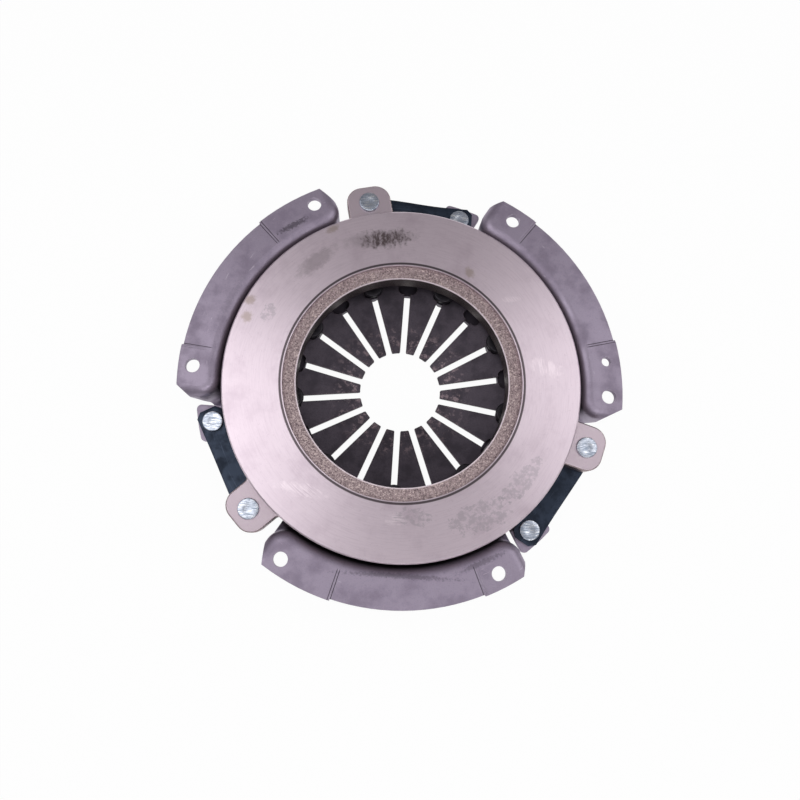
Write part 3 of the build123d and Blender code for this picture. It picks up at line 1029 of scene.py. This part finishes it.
@dataclass
class DriveStraps:
    """Three packs of thin leaves that pull the plate back and carry the torque."""

    packs: int = 3
    leaves: int = 3
    leaf: float = 0.7
    width: float = 17.0
    end: float = 8.7
    corner: float = 3.4
    flat: float = 9.5
    circle_r: float = 122.6
    cover_deg: float = 75.1
    lug_deg: float = 104.2
    hole_r: float = 4.0
    bend_rows: int = 24
    lanes: tuple[float, ...] = (1.0, 0.5, 0.0, -0.5, -1.0)

    def half_pitch(self) -> float:
        """Returns half the distance between the two rivets of a strap."""
        return self.circle_r * math.sin(math.radians(self.lug_deg - self.cover_deg) / 2)

    def end_ring(self, side: float) -> list[tuple[float, float]]:
        """Goes round the flat end of a leaf, seen from its rivet.

        Args:
            side: -1 for the cover end, +1 for the lug end.

        Returns:
            Points relative to the rivet, anticlockwise from the first inner corner.
        """
        half, cut = self.width / 2, self.corner
        inner = [(half * x, -side * self.flat) for x in self.lanes]
        side_lengths = [-self.flat * 0.4, self.end * 0.2, self.end - cut]
        outer = [*((-half, side * y) for y in side_lengths),
                 *((x, side * self.end) for x in (cut - half, 0.0, half - cut)),
                 *((half, side * y) for y in reversed(side_lengths))]
        return inner + outer

    def leaf_mesh(self, low: float, rise: float) -> Mesh:
        """Builds one leaf as an open sheet with its two rivet holes.

        Args:
            low: height of its top at the cover end.
            rise: how far it climbs to the lug.

        Returns:
            The sheet, which a solidify modifier makes thick.
        """
        bm = bmesh.new()
        bend = self.half_pitch() - self.flat
        rows = []
        for side in (-1.0, 1.0):
            middle = side * self.half_pitch()
            height = (low + (rise if side > 0 else 0.0)) * MM
            ring = self.end_ring(side)
            outer = [bm.verts.new((x * MM, (middle + y) * MM, height)) for x, y in ring]
            hole = []
            for x, y in ring:
                scale = self.hole_r / math.hypot(x, y)
                hole.append(bm.verts.new((x * scale * MM, (middle + y * scale) * MM, height)))
            for number in range(len(ring)):
                after = (number + 1) % len(ring)
                bm.faces.new([outer[number], outer[after], hole[after], hole[number]])
            rows.append(outer[:len(self.lanes)])
        between_rows = []
        for step in range(1, self.bend_rows):
            share = step / self.bend_rows
            height = (low + rise * (3 * share ** 2 - 2 * share ** 3)) * MM
            y = bend * (2 * share - 1) * MM
            between_rows.append([bm.verts.new((self.width / 2 * x * MM, y, height)) for x in self.lanes])
        for near, far in zip([rows[0], *between_rows], [*between_rows, rows[1]]):
            for column in range(len(self.lanes) - 1):
                bm.faces.new([near[column], far[column], far[column + 1], near[column + 1]])
        bmesh.ops.recalc_face_normals(bm, faces=bm.faces)
        if sum(face.normal.z for face in bm.faces) < 0:
            bmesh.ops.reverse_faces(bm, faces=bm.faces)
        mesh = bpy.data.meshes.new("strap_leaf")
        bm.to_mesh(mesh)
        bm.free()
        return mesh

    def build(self, finish: Material) -> list[Object]:
        """Builds the nine leaves, each bending between the cover and its lug.

        Args:
            finish: finish of the strip.

        Returns:
            The pieces.
        """
        pieces = []
        for pack in range(1, self.packs + 1):
            angle = (self.cover_deg + self.lug_deg) / 2 + (pack - 1) * 360 / self.packs
            middle_r = self.circle_r * math.cos(math.radians(self.lug_deg - self.cover_deg) / 2)
            place = Matrix.Rotation(math.radians(angle), 4, "Z") @ Matrix.Translation((middle_r * MM, 0, 0))
            for number in range(1, self.leaves + 1):
                node = f"drive_strap_{pack}_leaf_{number}"
                low, high = (corner.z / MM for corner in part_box(node))
                rise = high - low - self.leaf
                maker = held(self.leaf_mesh(low + self.leaf, rise))
                solid = maker.modifiers.new("thick", "SOLIDIFY")
                solid.thickness, solid.offset = self.leaf * MM, -1.0
                rim = maker.modifiers.new("rim", "BEVEL")
                rim.width, rim.segments, rim.limit_method = 0.12 * MM, 2, "ANGLE"
                piece = settled(maker, f"{node}_dressed", 40.0)
                piece.data.transform(place)
                piece.data.materials.clear()
                piece.data.materials.append(finish)
                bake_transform(piece)
                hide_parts(node)
                pieces.append(piece)
        return pieces


# The studio

@dataclass(frozen=True)
class Softbox:
    """One soft studio lamp."""

    name: str
    place: tuple[float, float, float]
    width: float
    height: float
    power: float

    def build(self) -> Object:
        """Hangs the lamp, facing the part."""
        light = bpy.data.lights.new(self.name, "AREA")
        light.shape, light.size, light.size_y, light.energy = "RECTANGLE", self.width, self.height, self.power
        lamp = bpy.data.objects.new(self.name, light)
        lamp.location = self.place
        lamp.rotation_euler = Vector(self.place).to_track_quat("Z", "Y").to_euler()
        bpy.context.scene.collection.objects.link(lamp)
        return lamp


@dataclass
class Studio:
    """Pale floor, soft light and the camera of the photograph."""

    floor_half: float = 4.0
    floor_colour: str = "#F6F5F6"
    floor_white: float = 0.96
    ambient: str = "#FBF8FA"
    ambient_level: float = 0.27
    softboxes: tuple[Softbox, ...] = (
        Softbox("softbox_left", (-0.60, 0.06, 1.0), 0.75, 1.1, 4.4),
        Softbox("softbox_right", (0.77, 0.26, 0.95), 0.75, 1.1, 3.6),
        Softbox("softbox_near", (0.22, -0.75, 0.9), 0.9, 0.5, 3.4),
        Softbox("softbox_under", (0.0, 0.0, -0.9), 1.0, 1.0, 5.0))
    camera_mm: tuple[float, float, float] = (-16.743, -94.620, 433.570)
    camera_right: tuple[float, float, float] = (0.99662, 0.06656, 0.04890)
    camera_up: tuple[float, float, float] = (-0.07444, 0.98018, 0.18370)
    focal_px: float = 705.93

    def floor(self) -> Object:
        """Lays the pale floor under the lowest point of the part.

        Returns:
            The floor, seen only from above.
        """
        level = CAD_BOX[0].z - 0.0002
        half = self.floor_half
        mesh = bpy.data.meshes.new("floor")
        corners = [(x * half, y * half, level) for x, y in ((-1, -1), (1, -1), (1, 1), (-1, 1))]
        mesh.from_pydata(corners, [], [(0, 1, 2, 3)])
        made = bpy.data.materials.new("studio_floor")
        made.use_nodes = True
        tree = made.node_tree
        tree.nodes.clear()
        board = add_node(tree, "ShaderNodeBsdfDiffuse", {"Color": linear(self.floor_colour)}).outputs[0]
        lit = add_node(tree, "ShaderNodeEmission", {"Color": linear("#FFFFFF"), "Strength": 1.0}).outputs[0]
        path = add_node(tree, "ShaderNodeLightPath").outputs
        # The camera and what the metal mirrors see the board nearly white; the rest is the board's shadow.
        seen = path["Is Camera Ray"]
        for ray in ("Is Glossy Ray", "Is Transmission Ray"):
            rays = {0: seen, 1: path[ray]}
            seen = add_node(tree, "ShaderNodeMath", rays, operation="ADD", use_clamp=True).outputs[0]
        white = {0: seen, 1: self.floor_white}
        seen = add_node(tree, "ShaderNodeMath", white, operation="MULTIPLY").outputs[0]
        front = add_node(tree, "ShaderNodeMixShader", {0: seen, 1: board, 2: lit}).outputs[0]
        clear = add_node(tree, "ShaderNodeBsdfTransparent").outputs[0]
        behind = add_node(tree, "ShaderNodeNewGeometry").outputs["Backfacing"]
        passing = {0: behind, 1: path["Is Shadow Ray"]}
        open_way = add_node(tree, "ShaderNodeMath", passing, operation="MAXIMUM").outputs[0]
        whole = add_node(tree, "ShaderNodeMixShader", {0: open_way, 1: front, 2: clear}).outputs[0]
        add_node(tree, "ShaderNodeOutputMaterial", {"Surface": whole})
        mesh.materials.append(made)
        floor = bpy.data.objects.new("floor", mesh)
        bpy.context.scene.collection.objects.link(floor)
        return floor

    def surroundings(self) -> None:
        """Sets the even light of the room."""
        world = bpy.data.worlds.new("studio")
        world.use_nodes = True
        sky = world.node_tree.nodes["Background"]
        sky.inputs["Color"].default_value = linear(self.ambient)
        sky.inputs["Strength"].default_value = self.ambient_level
        bpy.context.scene.world = world

    def camera(self) -> Object:
        """Stands the camera where the photograph was taken.

        Returns:
            The camera.
        """
        lens = bpy.data.cameras.new("photo_camera")
        lens.sensor_width = SENSOR_MM
        lens.lens = self.focal_px / IMAGE_PX * SENSOR_MM
        right, up = Vector(self.camera_right).normalized(), Vector(self.camera_up).normalized()
        back = right.cross(up).normalized()
        camera = bpy.data.objects.new("photo_camera", lens)
        matrix = Matrix((right, back.cross(right), back)).transposed().to_4x4()
        matrix.translation = Vector(self.camera_mm) * MM
        camera.matrix_world = matrix
        bpy.context.scene.collection.objects.link(camera)
        bpy.context.scene.camera = camera
        return camera

    def build(self) -> None:
        """Sets up the whole studio."""
        bpy.context.scene.view_settings.view_transform = "Standard"
        self.floor()
        self.surroundings()
        self.camera()
        for softbox in self.softboxes:
            softbox.build()


def main() -> None:
    """Builds and dresses the assembly piece by piece."""
    logging.basicConfig(level=logging.INFO, format="%(name)s: %(message)s")
    pattern = ring_pattern()
    zinc = ZincRivet().build()
    for name in CoverPressing().dress(PressedSteel().build(), DrawnWire().build()):
        LOG.info("dressed %s", name)
    for name in PressurePlate().dress(GroundIron().build()):
        LOG.info("dressed %s", name)
    made = [DiaphragmSpring().build(pattern, PeenedSpringSteel().build()),
            FulcrumRivets().build(pattern, BlackRivet().build()),
            StrapRivets("cover_strap_rivet", Body.COVER, 75.1).build(pattern, zinc),
            StrapRivets("lug_rivet", Body.PLATE, 104.2).build(pattern, zinc),
            *DriveStraps().build(BluedStrip().build())]
    for piece in made:
        LOG.info("built %s, %d faces", piece.name, len(piece.data.polygons))
    Studio().build()


if __name__ == "__main__":
    main()
